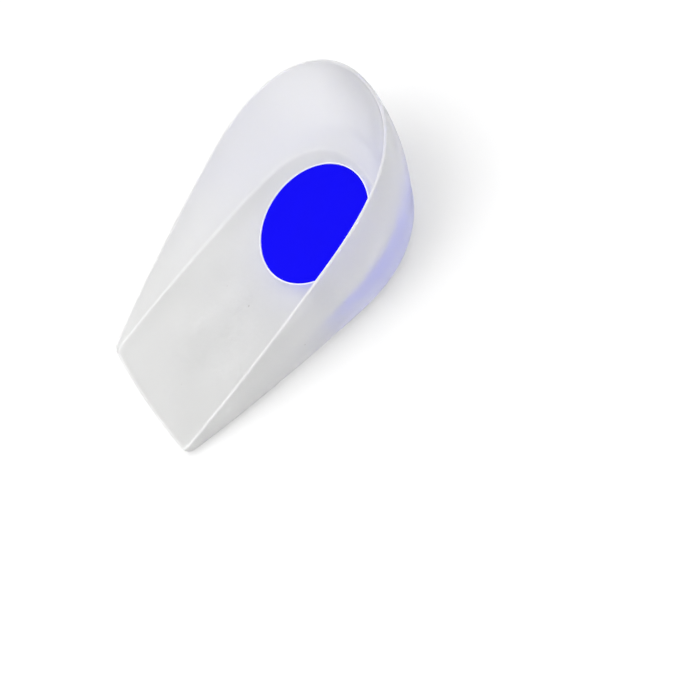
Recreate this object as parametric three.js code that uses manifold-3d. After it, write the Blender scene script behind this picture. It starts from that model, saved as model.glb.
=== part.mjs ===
// A silicone gel heel cup: a clear moulded cup whose floor is a wedge, thin at the toe edge and thick
// under the heel, with a flared wall that rises from the front corners round the back of the heel,
// and a softer blue gel pad let into the floor under the heel bone.
// Millimetres, +Z up, the underside at z = 0, -Y towards the toes and +Y towards the back of the heel.
import * as THREE from "three";
import { mergeVertices } from "three/addons/utils/BufferGeometryUtils.js";
import Module from "manifold-3d";

// Plan of the floor
const cupLength = 103; // toe edge to the back of the rim
const toeEdgeWidth = 44.8; // the floor between its front corners
const floorWidth = 51; // the floor at its widest
const widestFromBack = 26.2; // back of the floor to where the floor is widest
const toeEdgeBow = 1; // how far the middle of the toe edge stands in front of its corners
const bowReach = 24; // how far back from the toe edge the bow dies away
const frontCornerRadius = 2;
const heelPlanPower = 2.45; // 2 is an ellipse, and more is squarer

// Floor and rim
const toeThickness = 2; // floor at the toe edge
const heelThickness = 9; // floor, if it ran on to the back of the rim
const toeEdgeRound = 0.8; // radius along the top of the toe edge
const rimRiseToe = 0.45; // rim above the floor at the front corners
const rimRiseHeel = 23; // rim above the floor at the back of the heel
const rimThickness = 1;

// Wall: each pair is for the sides and for the back of the heel
const sideFlareRatio = 0.3; // how far the inside leans out for each millimetre that it rises
const heelFlareRatio = 0.71;
const sideBellyRatio = 0.025; // how far the inside bellies out, for each millimetre of rise
const heelBellyRatio = 0.04;
const outerBellyRatio = 0.055;
const toeWallThickness = 1.05; // the wall at floor level by the front corners
const sideWallThickness = 7.8; // the side wall at floor level, if it ran on to the back of the heel
const heelWallThickness = 9.7;
const soleRoundToe = 1.2; // how far the rounded bottom edge reaches along the wall and the underside
const soleRoundHeel = 7;
const mostSoleRoundShare = 0.5; // the most of the wall's height that the rounded bottom edge takes
const creaseRoundToe = 1.5; // how far the fillet between floor and wall reaches, at the front corners
const creaseRound = 0.9; // and further back
const creaseSharpFrom = 15; // toe edge to where the fillet has become as small as that
const mostFilletShare = 0.8; // the most of the wall's first step that the fillet takes

// Blue pad
const padWidth = 36.2;
const padLength = 34.6;
const padFromBack = 19.1; // back of the floor to the pad's centre
const gelUnderPad = 1.5; // gel left under the pocket where the floor is thinnest
const padProud = 0.25; // how far the pad stands above the floor
const padEdgeRound = 0.6;
const padClearance = 0.3;

// Fineness of the mesh
const flankSteps = 16;
const cornerSteps = 5;
const heelSteps = 24; // from the widest place to the back of the heel
const floorSteps = 4; // from the middle of the floor to its edge
const creaseSteps = 3;
const wallSteps = 5;
const rimSteps = 4;
const soleSteps = 5;
const padSides = 64;
const padEdgeSteps = 3;

const floorSlope = (heelThickness - toeThickness) / cupLength;
const wedgeAngle = Math.atan(floorSlope);
const floorLength = cupLength - rimThickness - heelFlareRatio * rimRiseHeel;
const widestFromToe = floorLength - widestFromBack;
const padFromToe = floorLength - padFromBack;
const { lerp, clamp } = THREE.MathUtils;

// Height of the floor's top at a distance from the toe edge, which is rounded.
function floorTop(fromToe) {
  const short = Math.max(0, toeEdgeRound - fromToe);
  const drop = toeEdgeRound - Math.sqrt(toeEdgeRound ** 2 - short ** 2);
  return toeThickness + floorSlope * fromToe - drop;
}

// Places along the right half of the floor's edge, from the front corner to the back of the heel,
// each with the direction that the wall leans out in.
function floorEdge() {
  const places = [];
  const halfWidth = (y) => lerp(toeEdgeWidth, floorWidth, 1 - (1 - y / widestFromToe) ** 2) / 2;
  for (let i = 0; i < cornerSteps; i++) {
    const angle = ((i / cornerSteps) * Math.PI) / 2;
    const y = frontCornerRadius * (1 - Math.cos(angle));
    const cut = frontCornerRadius * (1 - Math.sin(angle));
    places.push({ x: halfWidth(y) - cut, y, outX: 1, outY: 0 });
  }
  for (let i = 0; i < flankSteps; i++) {
    const y = lerp(frontCornerRadius, widestFromToe, i / flankSteps);
    places.push({ x: halfWidth(y), y, outX: 1, outY: 0 });
  }
  const across = floorWidth / 2;
  const along = floorLength - widestFromToe;
  for (let i = 0; i <= heelSteps; i++) {
    const angle = ((i / heelSteps) * Math.PI) / 2;
    const cos = i === heelSteps ? 0 : Math.cos(angle);
    const sin = Math.sin(angle);
    const out = new THREE.Vector2(cos / across, sin / along).normalize();
    places.push({
      x: across * cos ** (2 / heelPlanPower),
      y: widestFromToe + along * sin ** (2 / heelPlanPower),
      outX: out.x,
      outY: out.y,
    });
  }
  return places;
}

// A quadratic curve between two points that leaves out its start.
function curveTo(start, control, end, steps) {
  return new THREE.QuadraticBezierCurve(start, control, end).getPoints(steps).slice(1);
}

// The control point of a curve from a to b that bellies out to the right of the way there.
function bellyPoint(a, b, belly) {
  const way = b.clone().sub(a).normalize();
  return a.clone().lerp(b, 0.5).add(new THREE.Vector2(way.y, -way.x).multiplyScalar(2 * belly));
}

// The wall's section at one place: points (out, up) from the floor near its edge, over the rim, to
// the underside. Out is measured from the floor's edge and up from the underside.
function wallSection(place) {
  const backward = clamp(place.y / floorLength, 0, 1);
  const heelward = place.outY ** 2;
  const rise = lerp(rimRiseToe, rimRiseHeel, backward);
  const floor = floorTop(place.y);

  // Fillet and inside of the wall
  const crease = new THREE.Vector2(0, floor);
  const flare = lerp(sideFlareRatio, heelFlareRatio, heelward);
  const rimRadius = rimThickness / 2;
  const rimHeight = Math.min(rimRadius, rise / 2);
  const rimInside = new THREE.Vector2(flare * rise, floor + rise - rimHeight);
  const belly = lerp(sideBellyRatio, heelBellyRatio, heelward) * rise;
  const inside = new THREE.QuadraticBezierCurve(crease, bellyPoint(crease, rimInside, belly), rimInside);
  const reach = lerp(creaseRoundToe, creaseRound, clamp(place.y / creaseSharpFrom, 0, 1));
  const steps = inside.getPoints(wallSteps);
  const filletShare = Math.min(mostFilletShare, reach / crease.distanceTo(steps[1]));
  const filletTop = crease.clone().lerp(steps[1], filletShare);
  const filletStart = new THREE.Vector2(-reach, floorTop(place.y - reach * place.outY));
  const points = [filletStart, ...curveTo(filletStart, crease, filletTop, creaseSteps), ...steps.slice(1)];

  // Round rim
  for (let i = 1; i <= rimSteps; i++) {
    const angle = (i / rimSteps) * Math.PI;
    const up = i === rimSteps ? 0 : rimHeight * Math.sin(angle);
    points.push(rimInside.clone().add(new THREE.Vector2(rimRadius * (1 - Math.cos(angle)), up)));
  }

  // Outside of the wall and the rounded bottom edge
  const thickness = lerp(toeWallThickness, lerp(sideWallThickness, heelWallThickness, heelward), backward);
  const rimOutside = points[points.length - 1];
  const outerLean = (rimOutside.x - thickness) / rise;
  const foot = new THREE.Vector2(thickness - floor * outerLean, 0);
  const soleRound = lerp(soleRoundToe, soleRoundHeel, backward);
  const roundShare = Math.min(mostSoleRoundShare, soleRound / foot.distanceTo(rimOutside));
  const roundTop = foot.clone().lerp(rimOutside, roundShare);
  const roundEnd = new THREE.Vector2(foot.x - soleRound, 0);
  const outerMiddle = bellyPoint(roundTop, rimOutside, outerBellyRatio * rise);
  points.push(...curveTo(rimOutside, outerMiddle, roundTop, wallSteps));
  points.push(...curveTo(roundTop, foot, roundEnd, soleSteps));
  return points;
}

// Brings the corners of the toe edge back behind its middle.
function bowed(x, y) {
  const fade = Math.max(0, 1 - y / bowReach) ** 2;
  return y + toeEdgeBow * fade * (x / (toeEdgeWidth / 2)) ** 2;
}

// One ring of points in 3-D at a place: middle of the floor, wall section, middle of the underside.
function ringAt(place, side) {
  const spineY = Math.min(place.y, widestFromToe);
  const at = (x, y, z) => new THREE.Vector3(side * x, bowed(x, y) - cupLength / 2, z);
  const section = wallSection(place);
  const across = (end, height) => {
    const points = [];
    for (let i = 0; i < floorSteps; i++) {
      const share = i / floorSteps;
      const x = share * (place.x + place.outX * end.x);
      const y = lerp(spineY, place.y + place.outY * end.x, share);
      points.push(at(x, y, height(y)));
    }
    return points;
  };
  return [
    ...across(section[0], floorTop),
    ...section.map((p) => at(place.x + place.outX * p.x, place.y + place.outY * p.x, p.y)),
    ...across(section[section.length - 1], () => 0).reverse(),
  ];
}

// The clear cup before its pocket is cut: rings from the right front corner round to the left one,
// skinned together, with a flat face across the toe edge.
function cupBody() {
  const right = floorEdge();
  const rings = right.map((place) => ringAt(place, 1));
  rings.push(...right.slice(0, -1).reverse().map((place) => ringAt(place, -1)));
  const faces = [];
  const quad = (a, b, c, d) => faces.push(a, b, c, a, c, d);
  for (let i = 0; i + 1 < rings.length; i++) {
    for (let k = 0; k + 1 < rings[i].length; k++) {
      quad(rings[i][k], rings[i][k + 1], rings[i + 1][k + 1], rings[i + 1][k]);
    }
  }
  const toeFace = (ring, turned) => {
    const outline = ring.map((p) => new THREE.Vector2(Math.abs(p.x), p.z));
    const flip = THREE.ShapeUtils.isClockWise(outline) !== turned;
    for (const [a, b, c] of THREE.ShapeUtils.triangulateShape(outline, [])) {
      faces.push(...(flip ? [ring[a], ring[c], ring[b]] : [ring[a], ring[b], ring[c]]));
    }
  };
  toeFace(rings[0], true);
  toeFace(rings[rings.length - 1], false);
  return new THREE.BufferGeometry().setFromPoints(faces);
}

// An oval plug about its own centre, between two heights, with a rounded top edge.
function ovalPlug(width, length, top, bottom, edgeRound) {
  const profile = [new THREE.Vector2(0, bottom), new THREE.Vector2(1, bottom)];
  const ring = (inset, z) => new THREE.Vector2(1 - inset / (width / 2), z);
  for (let i = edgeRound > 0 ? 0 : padEdgeSteps; i <= padEdgeSteps; i++) {
    const angle = ((i / padEdgeSteps) * Math.PI) / 2;
    profile.push(ring(edgeRound * (1 - Math.cos(angle)), top - edgeRound * (1 - Math.sin(angle))));
  }
  profile.push(new THREE.Vector2(0, top));
  const plug = new THREE.LatheGeometry(profile, padSides);
  plug.rotateX(Math.PI / 2);
  return plug.scale(width / 2, length / 2, 1);
}

// How far the pad reaches down, measured where the floor under it is thinnest.
const padDepth = floorTop(padFromToe - padLength / 2) - gelUnderPad - padClearance;

// Puts a piece made about the pad's centre where the pad sits, level with the sloping floor.
function seatOnFloor(object) {
  object.position.set(0, padFromToe - cupLength / 2, floorTop(padFromToe));
  object.rotation.x = wedgeAngle;
  return object;
}

const wasm = await Module();
wasm.setup();

function toSolid(geometry) {
  const bare = new THREE.BufferGeometry().setAttribute("position", geometry.getAttribute("position"));
  if (geometry.index) bare.setIndex(geometry.index);
  const merged = mergeVertices(bare, 1e-4);
  return new wasm.Manifold(
    new wasm.Mesh({
      numProp: 3,
      vertProperties: merged.attributes.position.array,
      triVerts: new Uint32Array(merged.index.array),
    }),
  );
}

function toGeometry(solid) {
  const mesh = solid.getMesh();
  const geometry = new THREE.BufferGeometry();
  geometry.setAttribute("position", new THREE.BufferAttribute(mesh.vertProperties, 3));
  geometry.setIndex(new THREE.BufferAttribute(mesh.triVerts, 1));
  geometry.computeVertexNormals();
  return geometry;
}

function makeCup() {
  const grow = 2 * padClearance;
  const pocket = ovalPlug(padWidth + grow, padLength + grow, padDepth, -padDepth - padClearance, 0);
  const seat = seatOnFloor(new THREE.Object3D());
  seat.updateMatrix();
  const cut = toSolid(cupBody()).subtract(toSolid(pocket.applyMatrix4(seat.matrix)));
  const gel = new THREE.MeshStandardMaterial({
    color: 0xe6e6e4,
    roughness: 0.45,
    metalness: 0,
    transparent: true,
    opacity: 0.7,
  });
  const cup = new THREE.Mesh(toGeometry(cut), gel);
  cup.name = "gel_cup";
  return cup;
}

function makePad() {
  const blue = new THREE.MeshStandardMaterial({ color: 0x1a15ee, roughness: 0.5, metalness: 0 });
  const pad = new THREE.Mesh(ovalPlug(padWidth, padLength, padProud, -padDepth, padEdgeRound), blue);
  pad.name = "heel_pad";
  return seatOnFloor(pad);
}

const heelCup = new THREE.Group();
heelCup.add(makeCup(), makePad());
export default heelCup;
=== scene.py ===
import math

import bmesh
import bpy
from mathutils import Matrix, Vector


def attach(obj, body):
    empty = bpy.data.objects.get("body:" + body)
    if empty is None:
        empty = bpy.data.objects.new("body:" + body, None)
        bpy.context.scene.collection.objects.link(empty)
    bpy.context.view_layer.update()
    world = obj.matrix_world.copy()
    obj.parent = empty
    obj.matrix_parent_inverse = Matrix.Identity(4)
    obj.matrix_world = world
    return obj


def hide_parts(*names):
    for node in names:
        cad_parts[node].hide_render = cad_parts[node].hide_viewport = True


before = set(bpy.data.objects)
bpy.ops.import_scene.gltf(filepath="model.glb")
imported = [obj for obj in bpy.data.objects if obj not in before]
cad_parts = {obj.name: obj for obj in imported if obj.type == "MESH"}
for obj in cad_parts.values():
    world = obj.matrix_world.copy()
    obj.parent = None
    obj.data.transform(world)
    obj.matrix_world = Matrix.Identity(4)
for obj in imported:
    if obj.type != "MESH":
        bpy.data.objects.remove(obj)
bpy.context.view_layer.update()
bpy.ops.object.select_all(action="DESELECT")


# The camera
# It looks down on the cup from its right side, turned so that the toe edge lies at the lower left
# and the back of the heel at the upper right.
CAMERA_EYE = Vector((0.43221, 0.06008, 0.43747))
CAMERA_AIM = Vector((0.02607, -0.00096, -0.01081))
CAMERA_ROLL = math.radians(-50.17)
CAMERA_LENS = 118.3

camera_data = bpy.data.cameras.new("camera")
camera_data.lens = CAMERA_LENS
camera_data.sensor_width = 36
camera_data.clip_start = 0.01
camera = bpy.data.objects.new("camera", camera_data)
bpy.context.scene.collection.objects.link(camera)
camera_turn = (CAMERA_AIM - CAMERA_EYE).to_track_quat("-Z", "Y").to_matrix().to_4x4()
camera.matrix_world = Matrix.Translation(CAMERA_EYE) @ camera_turn @ Matrix.Rotation(CAMERA_ROLL, 4, "Z")
bpy.context.scene.camera = camera
bpy.context.scene.view_settings.view_transform = "Standard"


# The clear gel cup
# One piece of frosted silicone gel, cast in a mould: a wedge floor that is thin at the toe edge, a
# flared wall that climbs from the front corners round the heel and thins to a round rim, and an oval
# pocket for the blue pad. Sizes are in millimetres, from the toe edge backwards.
MM = 0.001
CUP_LENGTH = 103
TOE_EDGE_WIDTH = 44.8
FLOOR_WIDTH = 51
WIDEST_FROM_BACK = 26.2
TOE_EDGE_BOW = 1
BOW_REACH = 24
FRONT_CORNER_RADIUS = 2
HEEL_PLAN_POWER = 2.45
TOE_THICKNESS = 2
HEEL_THICKNESS = 9
TOE_EDGE_ROUND = 0.8
TOE_SOLE_ROUND = 0.5
RIM_RISE_TOE = 0.45
RIM_RISE_HEEL = 23
RIM_THICKNESS = 1
SIDE_FLARE, HEEL_FLARE = 0.3, 0.71
SIDE_BELLY, HEEL_BELLY, OUTER_BELLY = 0.025, 0.04, 0.055
TOE_WALL, SIDE_WALL, HEEL_WALL = 1.05, 7.8, 9.7
SOLE_ROUND_TOE, SOLE_ROUND_HEEL = 1.2, 7
MOST_SOLE_ROUND = 0.5
CREASE_ROUND_TOE, CREASE_ROUND = 1.5, 0.9
CREASE_SHARP_FROM = 15
MOST_FILLET = 0.8
UNDER_FLAT, FLOOR_FLAT = 0.4, 0.3
PAD_WIDTH = 36.2
PAD_LENGTH = 34.6
PAD_FROM_BACK = 19.1
GEL_UNDER_PAD = 1.5
PAD_CLEARANCE = 0.3
FLOOR_LENGTH = CUP_LENGTH - RIM_THICKNESS - HEEL_FLARE * RIM_RISE_HEEL
WIDEST_FROM_TOE = FLOOR_LENGTH - WIDEST_FROM_BACK
PAD_FROM_TOE = FLOOR_LENGTH - PAD_FROM_BACK
FLOOR_SLOPE = (HEEL_THICKNESS - TOE_THICKNESS) / CUP_LENGTH

TOE_STEPS, CORNER_STEPS, FLANK_STEPS, HEEL_STEPS = 22, 12, 48, 56
SOLE_STEPS, WALL_STEPS, RIM_STEPS, FILLET_STEPS = 10, 12, 10, 6


def mix(a, b, share):
    return a + (b - a) * share


def floor_top(from_toe):
    """Height of the floor's top at a distance from the toe edge."""
    return TOE_THICKNESS + FLOOR_SLOPE * from_toe


def bowed(x, y):
    """The toe edge is a shallow bow, its middle furthest forward."""
    fade = max(0.0, 1 - y / BOW_REACH) ** 2
    return y + TOE_EDGE_BOW * fade * (x / (TOE_EDGE_WIDTH / 2)) ** 2


def curve(start, control, end, steps):
    """A quadratic curve, without its start."""
    points = []
    for step in range(1, steps + 1):
        t = step / steps
        points.append((1 - t) ** 2 * start + 2 * t * (1 - t) * control + t * t * end)
    return points


def belly_point(start, end, belly):
    """The control point of a curve that bellies out to the right of the way from start to end."""
    way = (end - start).normalized()
    return (start + end) / 2 + Vector((way.y, -way.x)) * 2 * belly


def right_half_outline():
    """Places along the floor's edge, from the middle of the toe edge to the back of the heel: x, y,
    the direction that the wall leans out in, and how far the wall has grown out of the toe edge."""
    places = []
    corner_x = TOE_EDGE_WIDTH / 2 - FRONT_CORNER_RADIUS
    for step in range(TOE_STEPS):
        places.append((corner_x * step / TOE_STEPS, 0.0, 0.0, -1.0, 0.0))
    for step in range(CORNER_STEPS):
        grown = step / CORNER_STEPS
        across, along = math.sin(grown * math.pi / 2), -math.cos(grown * math.pi / 2)
        x = corner_x + FRONT_CORNER_RADIUS * across
        y = FRONT_CORNER_RADIUS * (1 + along)
        places.append((x, y, across, along, grown * grown * (3 - 2 * grown)))
    for step in range(FLANK_STEPS):
        y = mix(FRONT_CORNER_RADIUS, WIDEST_FROM_TOE, step / FLANK_STEPS)
        x = mix(TOE_EDGE_WIDTH, FLOOR_WIDTH, 1 - (1 - y / WIDEST_FROM_TOE) ** 2) / 2
        places.append((x, y, 1.0, 0.0, 1.0))
    across, along = FLOOR_WIDTH / 2, FLOOR_LENGTH - WIDEST_FROM_TOE
    for step in range(HEEL_STEPS + 1):
        angle = step / HEEL_STEPS * math.pi / 2
        cos, sin = max(0.0, math.cos(angle)), math.sin(angle)
        if step == HEEL_STEPS:
            cos = 0.0
        out = Vector((cos / across, sin / along)).normalized()
        x = across * cos ** (2 / HEEL_PLAN_POWER)
        y = WIDEST_FROM_TOE + along * sin ** (2 / HEEL_PLAN_POWER)
        places.append((x, y, out.x, out.y, 1.0))
    return places


def toe_edge_section(floor, out_y, count):
    """Points (out, up) round the toe edge, where no wall has grown, from the underside to the floor."""
    edge = [Vector((-TOE_SOLE_ROUND - UNDER_FLAT, 0)), Vector((-TOE_SOLE_ROUND, 0))]
    edge_face = Vector((0, TOE_SOLE_ROUND))
    edge += curve(edge[1], Vector((0, 0)), edge_face, SOLE_STEPS)
    edge_top = Vector((0, floor - TOE_EDGE_ROUND))
    edge += curve(edge_face, (edge_face + edge_top) / 2, edge_top, WALL_STEPS)
    round_steps = count - len(edge) - FILLET_STEPS - 1
    centre = edge_top - Vector((TOE_EDGE_ROUND, 0))
    for step in range(1, round_steps + 1):
        angle = step / round_steps * math.pi / 2
        edge.append(centre + Vector((math.cos(angle), math.sin(angle))) * TOE_EDGE_ROUND)
    flat_start = edge[-1]
    flat_end = Vector((-CREASE_ROUND_TOE, floor - FLOOR_SLOPE * out_y * CREASE_ROUND_TOE))
    edge += curve(flat_start, (flat_start + flat_end) / 2, flat_end, FILLET_STEPS)
    edge.append(flat_end - Vector((1, FLOOR_SLOPE * out_y)) * FLOOR_FLAT)
    return edge


def wall_section(place):
    """Points (out, up) of the wall, from the underside up the outside, over the rim and down the
    inside to the floor. At the front corners they grow out of the points round the toe edge."""
    x, y, out_x, out_y, grown = place
    backward = min(1.0, max(0.0, y / FLOOR_LENGTH))
    heelward = out_y ** 2 if y > WIDEST_FROM_TOE else 0.0
    rise = mix(RIM_RISE_TOE, RIM_RISE_HEEL, backward)
    floor = floor_top(bowed(x, y))
    crease = Vector((0, floor))
    rim_height = min(RIM_THICKNESS / 2, rise / 2)
    rim_inside = Vector((mix(SIDE_FLARE, HEEL_FLARE, heelward) * rise, floor + rise - rim_height))
    rim_outside = rim_inside + Vector((RIM_THICKNESS, 0))
    thickness = mix(TOE_WALL, mix(SIDE_WALL, HEEL_WALL, heelward), backward)
    outer_lean = (rim_outside.x - thickness) / rise
    foot = Vector((thickness - floor * outer_lean, 0))
    sole_round = mix(SOLE_ROUND_TOE, SOLE_ROUND_HEEL, backward)
    up_wall = rim_outside - foot
    round_top = foot + up_wall * min(MOST_SOLE_ROUND, sole_round / up_wall.length)
    round_start = Vector((foot.x - sole_round, 0))
    outer_middle = belly_point(round_top, rim_outside, OUTER_BELLY * rise)

    wall = [round_start - Vector((UNDER_FLAT, 0)), round_start]
    wall += curve(round_start, foot, round_top, SOLE_STEPS)
    wall += curve(round_top, outer_middle, rim_outside, WALL_STEPS)
    for step in range(1, RIM_STEPS + 1):
        angle = step / RIM_STEPS * math.pi
        over = Vector((math.cos(angle) * RIM_THICKNESS / 2, math.sin(angle) * rim_height))
        wall.append((rim_inside + rim_outside) / 2 + over)
    belly = mix(SIDE_BELLY, HEEL_BELLY, heelward) * rise
    inner_middle = belly_point(crease, rim_inside, belly)
    inside = curve(rim_inside, inner_middle, crease, WALL_STEPS)
    reach = mix(CREASE_ROUND_TOE, CREASE_ROUND, min(1.0, y / CREASE_SHARP_FROM))
    fillet_start = crease.lerp(inside[-2], min(MOST_FILLET, reach / (inside[-2] - crease).length))
    fillet_end = Vector((-reach, floor - FLOOR_SLOPE * out_y * reach))
    wall += inside[:-1] + [fillet_start]
    wall += curve(fillet_start, crease, fillet_end, FILLET_STEPS)
    wall.append(fillet_end - Vector((1, FLOOR_SLOPE * out_y)) * FLOOR_FLAT)
    if grown == 1:
        return wall

    edge = toe_edge_section(floor, out_y, len(wall))
    return [mix(edge[i], wall[i], grown) for i in range(len(wall))]


def pocket_point(corner, width, length, down):
    """The point on the pocket's oval that faces a corner of the floor, so far below the floor."""
    slope = math.atan(FLOOR_SLOPE)
    middle = Vector((0, PAD_FROM_TOE - CUP_LENGTH / 2, floor_top(PAD_FROM_TOE)))
    way = Vector(((corner.x - middle.x) / width, (corner.y - middle.y) / length)).normalized()
    on_oval = Vector((way.x * width / 2, way.y * length / 2, down))
    return middle + Matrix.Rotation(slope, 3, "X") @ on_oval


right_half = right_half_outline()
stations = [(place, 1) for place in right_half]
stations += [(place, -1) for place in right_half[-2:0:-1]]
rings = []
for place, side in stations:
    x, y, out_x, out_y, grown = place
    ring = []
    for point in wall_section(place):
        across, along = x + out_x * point.x, y + out_y * point.x
        ring.append(Vector((side * across, bowed(across, along) - CUP_LENGTH / 2, point.y)))
    rings.append(ring)

# The pocket's skin lies a hair inside the pad, because the pad is cast into the cup
POCKET_EASE = -0.02
POCKET_CORNER = 0.6
LIP_WIDTH = 0.42
LIP_HEIGHT = 0.22
LIP_STEPS = 8
FLOOR_SHARES = (0.3, 0.6, 0.85, 0.97)
PAD_DEPTH = floor_top(PAD_FROM_TOE - PAD_LENGTH / 2) - GEL_UNDER_PAD - PAD_CLEARANCE
pocket_steps = []
for step in range(LIP_STEPS + 1):
    angle = step / LIP_STEPS * math.pi
    outwards = POCKET_EASE + LIP_WIDTH / 2 * (1 + math.cos(angle))
    pocket_steps.append((outwards, LIP_HEIGHT * math.sin(angle)))
pocket_steps += [(POCKET_EASE, -0.3), (POCKET_EASE, POCKET_CORNER - POCKET_EASE - PAD_DEPTH)]
pocket_floor = -POCKET_EASE - PAD_DEPTH
pocket_steps += [(-POCKET_CORNER, pocket_floor), (-2 * POCKET_CORNER, pocket_floor)]
for ring in rings:
    floor_edge = ring[-1]
    lip_start = pocket_point(floor_edge, PAD_WIDTH + 2 * (POCKET_EASE + LIP_WIDTH),
                             PAD_LENGTH + 2 * (POCKET_EASE + LIP_WIDTH), 0)
    for share in FLOOR_SHARES:
        ring.append(floor_edge.lerp(lip_start, share))
    for outwards, up in pocket_steps:
        ring.append(pocket_point(floor_edge, PAD_WIDTH + 2 * outwards, PAD_LENGTH + 2 * outwards, up))

# Painted highlights on the skin, laid on as a whiter, less clear and faintly glowing colour: most in the
# lip of the pocket, then in the sharp crease, the thin rim and the thin toe edge
CREASE_HIGHLIGHT = 0.75
RIM_HIGHLIGHT = 0.5
LIP_HIGHLIGHT = 1
TOE_HIGHLIGHT = 0.3
rim_first = 2 + SOLE_STEPS + WALL_STEPS - 1
crease_first = rim_first + RIM_STEPS + WALL_STEPS
crease_middle = crease_first + FILLET_STEPS // 2
lip_first = len(rings[0]) - len(pocket_steps)
painted_highlights = []
for place, side in stations:
    backward, heelward, grown = place[1] / CUP_LENGTH, place[3] ** 2, place[4]
    painted_highlight = [0.0] * len(rings[0])
    rim_highlight = RIM_HIGHLIGHT * grown * (1 - 0.7 * heelward)
    for step in range(RIM_STEPS + 1):
        painted_highlight[rim_first + step] = rim_highlight * math.sin(step / RIM_STEPS * math.pi)
    for step in range(rim_first, crease_first + 1):
        painted_highlight[step] += TOE_HIGHLIGHT * (1 - grown)
    for step in (crease_middle - 1, crease_middle):
        painted_highlight[step] = CREASE_HIGHLIGHT * grown * max(0.15, 1 - 1.4 * backward)
    for step in range(LIP_STEPS + 1):
        painted_highlight[lip_first + step] = LIP_HIGHLIGHT * min(1, 2 * math.sin(step / LIP_STEPS * math.pi))
    painted_highlights.append(painted_highlight)

bpy.ops.mesh.primitive_circle_add(vertices=len(rings), radius=CUP_LENGTH / 2 * MM, fill_type="NGON")
gel_cup = bpy.context.object
gel_cup.name = "gel_cup_clear"
# Each corner carries the strength of the painted highlight laid on it
gel_cup.data.attributes.new("painted_highlight", "FLOAT", "POINT")
gel_cup.data.attributes.new("station", "INT", "POINT")
station = gel_cup.data.attributes["station"]
for index in range(len(rings)):
    station.data[index].value = index
    gel_cup.data.vertices[index].co = rings[index][0] * MM
bpy.ops.object.mode_set(mode="EDIT")
bpy.ops.mesh.select_all(action="SELECT")
for step in range(1, len(rings[0])):
    bpy.ops.mesh.extrude_region()
    skin = bmesh.from_edit_mesh(gel_cup.data)
    skin_station = skin.verts.layers.int["station"]
    skin_highlight = skin.verts.layers.float["painted_highlight"]
    for corner in skin.verts:
        if corner.select:
            corner.co = rings[corner[skin_station]][step] * MM
            corner[skin_highlight] = painted_highlights[corner[skin_station]][step]
    bmesh.update_edit_mesh(gel_cup.data)
bpy.ops.mesh.select_all(action="SELECT")
bpy.ops.mesh.normals_make_consistent(inside=False)
bpy.ops.object.mode_set(mode="OBJECT")
gel_cup.data.attributes.remove(gel_cup.data.attributes["station"])
bpy.ops.object.shade_smooth_by_angle(angle=math.radians(50))

GEL_WHITE = (0.985, 0.985, 0.98, 1)
GEL_CLOUD = (0.955, 0.955, 0.95, 1)
# The white of the painted highlights, also the colour of their glow
HIGHLIGHT_WHITE = (1, 1, 1, 1)
# The share of light that passes clear through, in the body of the gel and at the painted highlight lines
# along its edges
GEL_CLEAR = 0.67
GEL_UNEVEN = 0.07
HIGHLIGHT_CLEAR = 0.1
HIGHLIGHT_GLOW = 0.12
SPECK_GREY = (0.45, 0.43, 0.4, 1)
gel = bpy.data.materials.new("frosted_clear_gel")
gel.use_nodes = True
nodes, links = gel.node_tree.nodes, gel.node_tree.links
gel_shader = nodes["Principled BSDF"]
gel_shader.inputs["IOR"].default_value = 1.33
gel_shader.inputs["Subsurface Weight"].default_value = 0.3
gel_shader.inputs["Subsurface Radius"].default_value = (1, 1, 1)
gel_shader.inputs["Subsurface Scale"].default_value = 0.004
gel_place = nodes.new("ShaderNodeTexCoord")

cloud = nodes.new("ShaderNodeTexNoise")
cloud.inputs["Scale"].default_value = 60
cloud.inputs["Detail"].default_value = 3
links.new(gel_place.outputs["Object"], cloud.inputs["Vector"])
cloud_tint = nodes.new("ShaderNodeMix")
cloud_tint.data_type = "RGBA"
cloud_tint.inputs[6].default_value = GEL_WHITE
cloud_tint.inputs[7].default_value = GEL_CLOUD
links.new(cloud.outputs["Fac"], cloud_tint.inputs[0])

speck_spread = nodes.new("ShaderNodeTexVoronoi")
speck_spread.inputs["Scale"].default_value = 75
links.new(gel_place.outputs["Object"], speck_spread.inputs["Vector"])
speck_edge = nodes.new("ShaderNodeMapRange")
speck_edge.inputs["From Min"].default_value = 0.012
speck_edge.inputs["From Max"].default_value = 0.03
speck_edge.inputs["To Min"].default_value = 0.6
speck_edge.inputs["To Max"].default_value = 0
links.new(speck_spread.outputs["Distance"], speck_edge.inputs["Value"])
speck_tint = nodes.new("ShaderNodeMix")
speck_tint.data_type = "RGBA"
speck_tint.inputs[7].default_value = SPECK_GREY
links.new(cloud_tint.outputs[2], speck_tint.inputs[6])
links.new(speck_edge.outputs["Result"], speck_tint.inputs[0])

# Painted highlight: whiter, less clear and faintly glowing where the skin is marked so
highlight_mark = nodes.new("ShaderNodeAttribute")
highlight_mark.attribute_name = "painted_highlight"
highlight_tint = nodes.new("ShaderNodeMix")
highlight_tint.data_type = "RGBA"
highlight_tint.inputs[7].default_value = HIGHLIGHT_WHITE
links.new(highlight_mark.outputs["Fac"], highlight_tint.inputs[0])
links.new(speck_tint.outputs[2], highlight_tint.inputs[6])
links.new(highlight_tint.outputs[2], gel_shader.inputs["Base Color"])
haze = nodes.new("ShaderNodeMapRange")
haze.inputs["From Min"].default_value = 0.35
haze.inputs["From Max"].default_value = 0.65
haze.inputs["To Min"].default_value = GEL_CLEAR - GEL_UNEVEN
haze.inputs["To Max"].default_value = GEL_CLEAR + GEL_UNEVEN
links.new(cloud.outputs["Fac"], haze.inputs["Value"])
clearness = nodes.new("ShaderNodeMapRange")
clearness.inputs["To Max"].default_value = HIGHLIGHT_CLEAR
links.new(haze.outputs["Result"], clearness.inputs["To Min"])
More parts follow.
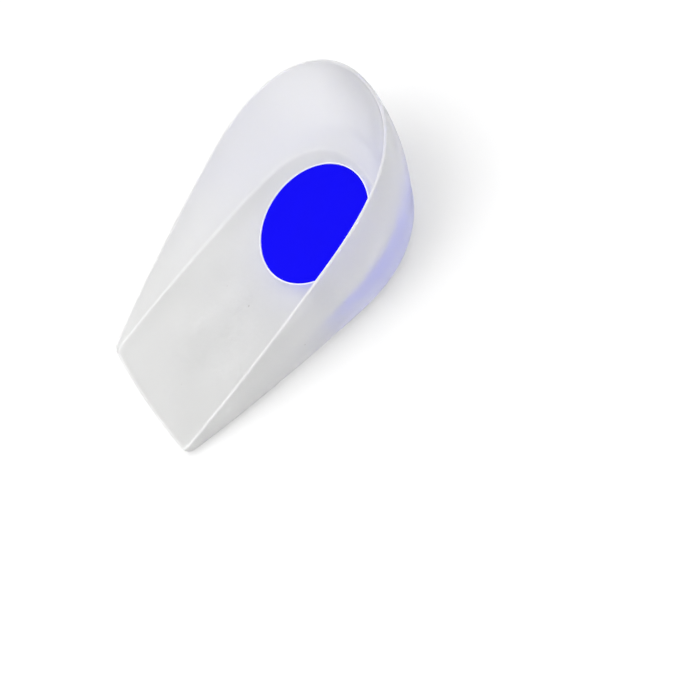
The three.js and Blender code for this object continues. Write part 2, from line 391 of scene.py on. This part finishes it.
links.new(highlight_mark.outputs["Fac"], clearness.inputs["Value"])
links.new(clearness.outputs["Result"], gel_shader.inputs["Transmission Weight"])
highlight_glow = nodes.new("ShaderNodeMath")
highlight_glow.operation = "MULTIPLY"
highlight_glow.inputs[1].default_value = HIGHLIGHT_GLOW
links.new(highlight_mark.outputs["Fac"], highlight_glow.inputs[0])
links.new(highlight_glow.outputs[0], gel_shader.inputs["Emission Strength"])
gel_shader.inputs["Emission Color"].default_value = HIGHLIGHT_WHITE

frost = nodes.new("ShaderNodeTexNoise")
frost.inputs["Scale"].default_value = 900
frost.inputs["Detail"].default_value = 2
links.new(gel_place.outputs["Object"], frost.inputs["Vector"])
frost_rough = nodes.new("ShaderNodeMapRange")
frost_rough.inputs["To Min"].default_value = 0.4
frost_rough.inputs["To Max"].default_value = 0.5
links.new(frost.outputs["Fac"], frost_rough.inputs["Value"])
links.new(frost_rough.outputs["Result"], gel_shader.inputs["Roughness"])
frost_bump = nodes.new("ShaderNodeBump")
frost_bump.inputs["Strength"].default_value = 0.12
frost_bump.inputs["Distance"].default_value = 0.0002
links.new(frost.outputs["Fac"], frost_bump.inputs["Height"])
links.new(frost_bump.outputs["Normal"], gel_shader.inputs["Normal"])
gel_cup.data.materials.append(gel)

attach(gel_cup, "root")
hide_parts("gel_cup")


# The blue heel pad
# A plug of softer blue gel, cast into its pocket under the heel bone, with a soft round edge and a
# barely crowned top that stands a little above the clear floor.
PAD_PROUD = 0.25
PAD_CROWN = 0.12
PAD_EDGE_ROUND = 0.6
PAD_SIDES = 128
PAD_RINGS = 7
RING_SPREAD = 0.97
pad_height = PAD_DEPTH + PAD_PROUD
pad_place = (0, (PAD_FROM_TOE - CUP_LENGTH / 2) * MM, floor_top(PAD_FROM_TOE) * MM)

bpy.ops.object.select_all(action="DESELECT")
bpy.ops.mesh.primitive_cylinder_add(vertices=PAD_SIDES, radius=PAD_WIDTH / 2 * MM, depth=pad_height * MM,
                                    location=(0, 0, (PAD_PROUD - pad_height / 2) * MM))
heel_pad = bpy.context.object
heel_pad.name = "heel_pad_blue"
bpy.ops.object.transform_apply(location=True, rotation=False, scale=False)
bpy.ops.object.mode_set(mode="EDIT")
bpy.ops.mesh.select_mode(type="EDGE")
bpy.ops.mesh.select_all(action="DESELECT")
plug = bmesh.from_edit_mesh(heel_pad.data)
for edge in plug.edges:
    if all(corner.co.z > 0 for corner in edge.verts):
        edge.select_set(True)
bmesh.update_edit_mesh(heel_pad.data)
bpy.ops.mesh.bevel(offset=PAD_EDGE_ROUND * MM, segments=6, affect="EDGES")
bpy.ops.mesh.select_mode(type="FACE")
bpy.ops.mesh.select_all(action="DESELECT")
plug = bmesh.from_edit_mesh(heel_pad.data)
for face in plug.faces:
    if face.normal.z > 0.99 and len(face.verts) == PAD_SIDES:
        face.select_set(True)
bmesh.update_edit_mesh(heel_pad.data)
ring_width = RING_SPREAD * PAD_WIDTH / 2 / (PAD_RINGS + 1)
for ring in range(PAD_RINGS):
    bpy.ops.mesh.inset(thickness=ring_width * MM)
plug = bmesh.from_edit_mesh(heel_pad.data)
for corner in plug.verts:
    if corner.co.z > (PAD_PROUD - 0.001) * MM:
        spread = math.hypot(corner.co.x, corner.co.y) / (PAD_WIDTH / 2 * MM)
        corner.co.z += PAD_CROWN * MM * (1 - spread ** 2)
bmesh.update_edit_mesh(heel_pad.data)
bpy.ops.object.mode_set(mode="OBJECT")
heel_pad.scale = (1, PAD_LENGTH / PAD_WIDTH, 1)
heel_pad.rotation_euler = (math.atan(FLOOR_SLOPE), 0, 0)
heel_pad.location = pad_place
bpy.ops.object.transform_apply(location=True, rotation=True, scale=True)
bpy.ops.object.shade_smooth_by_angle(angle=math.radians(50))

BLUE = (0.003, 0.001, 0.83, 1)
BLUE_DEEP = (0.0035, 0.0012, 0.78, 1)
# The paler side blue and its glow are painted light on the pad's sides
BLUE_SIDE_PAINTED_LIGHT = (0.2, 0.23, 0.83, 1)
SIDE_PAINTED_GLOW = 0.5
blue_gel = bpy.data.materials.new("soft_blue_gel")
blue_gel.use_nodes = True
nodes, links = blue_gel.node_tree.nodes, blue_gel.node_tree.links
blue_shader = nodes["Principled BSDF"]
blue_shader.inputs["Roughness"].default_value = 0.5
blue_shader.inputs["Specular IOR Level"].default_value = 0.03
blue_shader.inputs["Subsurface Weight"].default_value = 0.1
blue_shader.inputs["Subsurface Radius"].default_value = (0.2, 0.2, 1)
blue_shader.inputs["Subsurface Scale"].default_value = 0.0015
blue_place = nodes.new("ShaderNodeTexCoord")
blue_cloud = nodes.new("ShaderNodeTexNoise")
blue_cloud.inputs["Scale"].default_value = 120
links.new(blue_place.outputs["Object"], blue_cloud.inputs["Vector"])
blue_tint = nodes.new("ShaderNodeMix")
blue_tint.data_type = "RGBA"
blue_tint.inputs[6].default_value = BLUE
blue_tint.inputs[7].default_value = BLUE_DEEP
links.new(blue_cloud.outputs["Fac"], blue_tint.inputs[0])

# Painted light: the sides are painted paler and made to glow, for the light that reaches them through
# the gel
blue_seat = nodes.new("ShaderNodeMapping")
blue_seat.vector_type = "TEXTURE"
blue_seat.inputs["Location"].default_value = pad_place
blue_seat.inputs["Rotation"].default_value = (math.atan(FLOOR_SLOPE), 0, 0)
links.new(blue_place.outputs["Object"], blue_seat.inputs["Vector"])
blue_height = nodes.new("ShaderNodeSeparateXYZ")
links.new(blue_seat.outputs["Vector"], blue_height.inputs["Vector"])
side_light_mask = nodes.new("ShaderNodeMapRange")
side_light_mask.inputs["From Min"].default_value = -0.0001
side_light_mask.inputs["From Max"].default_value = -0.0006
links.new(blue_height.outputs["Z"], side_light_mask.inputs["Value"])
side_painted_light = nodes.new("ShaderNodeMix")
side_painted_light.data_type = "RGBA"
side_painted_light.inputs[7].default_value = BLUE_SIDE_PAINTED_LIGHT
links.new(side_light_mask.outputs["Result"], side_painted_light.inputs[0])
links.new(blue_tint.outputs[2], side_painted_light.inputs[6])
links.new(side_painted_light.outputs[2], blue_shader.inputs["Base Color"])
side_painted_glow = nodes.new("ShaderNodeMath")
side_painted_glow.operation = "MULTIPLY"
side_painted_glow.inputs[1].default_value = SIDE_PAINTED_GLOW
links.new(side_light_mask.outputs["Result"], side_painted_glow.inputs[0])
links.new(side_painted_glow.outputs[0], blue_shader.inputs["Emission Strength"])
blue_shader.inputs["Emission Color"].default_value = BLUE_SIDE_PAINTED_LIGHT

blue_grain = nodes.new("ShaderNodeTexNoise")
blue_grain.inputs["Scale"].default_value = 1100
links.new(blue_place.outputs["Object"], blue_grain.inputs["Vector"])
blue_bump = nodes.new("ShaderNodeBump")
blue_bump.inputs["Strength"].default_value = 0.15
blue_bump.inputs["Distance"].default_value = 0.0002
links.new(blue_grain.outputs["Fac"], blue_bump.inputs["Height"])
links.new(blue_bump.outputs["Normal"], blue_shader.inputs["Normal"])
heel_pad.data.materials.append(blue_gel)

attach(heel_pad, "root")
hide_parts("heel_pad")


# The floor and the light
# A plain pale table under a bright, even studio tent, with one large soft light above.
bpy.ops.object.select_all(action="DESELECT")
bpy.ops.mesh.primitive_plane_add(size=6, location=(0, 0, -0.0001))
table = bpy.context.object
table.name = "pale_table"
pale = bpy.data.materials.new("pale_table")
pale.use_nodes = True
pale_shader = pale.node_tree.nodes["Principled BSDF"]
pale_shader.inputs["Base Color"].default_value = (0.9, 0.9, 0.9, 1)
pale_shader.inputs["Roughness"].default_value = 0.8
pale_shader.inputs["Specular IOR Level"].default_value = 0.2
table.data.materials.append(pale)

tent = bpy.data.worlds.new("studio_tent")
tent.use_nodes = True
tent.node_tree.nodes["Background"].inputs["Color"].default_value = (1, 1, 1, 1)
tent.node_tree.nodes["Background"].inputs["Strength"].default_value = 0.89
bpy.context.scene.world = tent


def soft_light(name, place, aim, size, power):
    """A large square light, turned towards a point."""
    light_data = bpy.data.lights.new(name, "AREA")
    light_data.size = size
    light_data.energy = power
    light = bpy.data.objects.new(name, light_data)
    bpy.context.scene.collection.objects.link(light)
    light.location = place
    light.rotation_euler = (Vector(aim) - Vector(place)).to_track_quat("-Z", "Y").to_euler()


soft_light("overhead_light", (-0.15, -0.2, 0.9), (0, 0, 0), 0.8, 3.5)
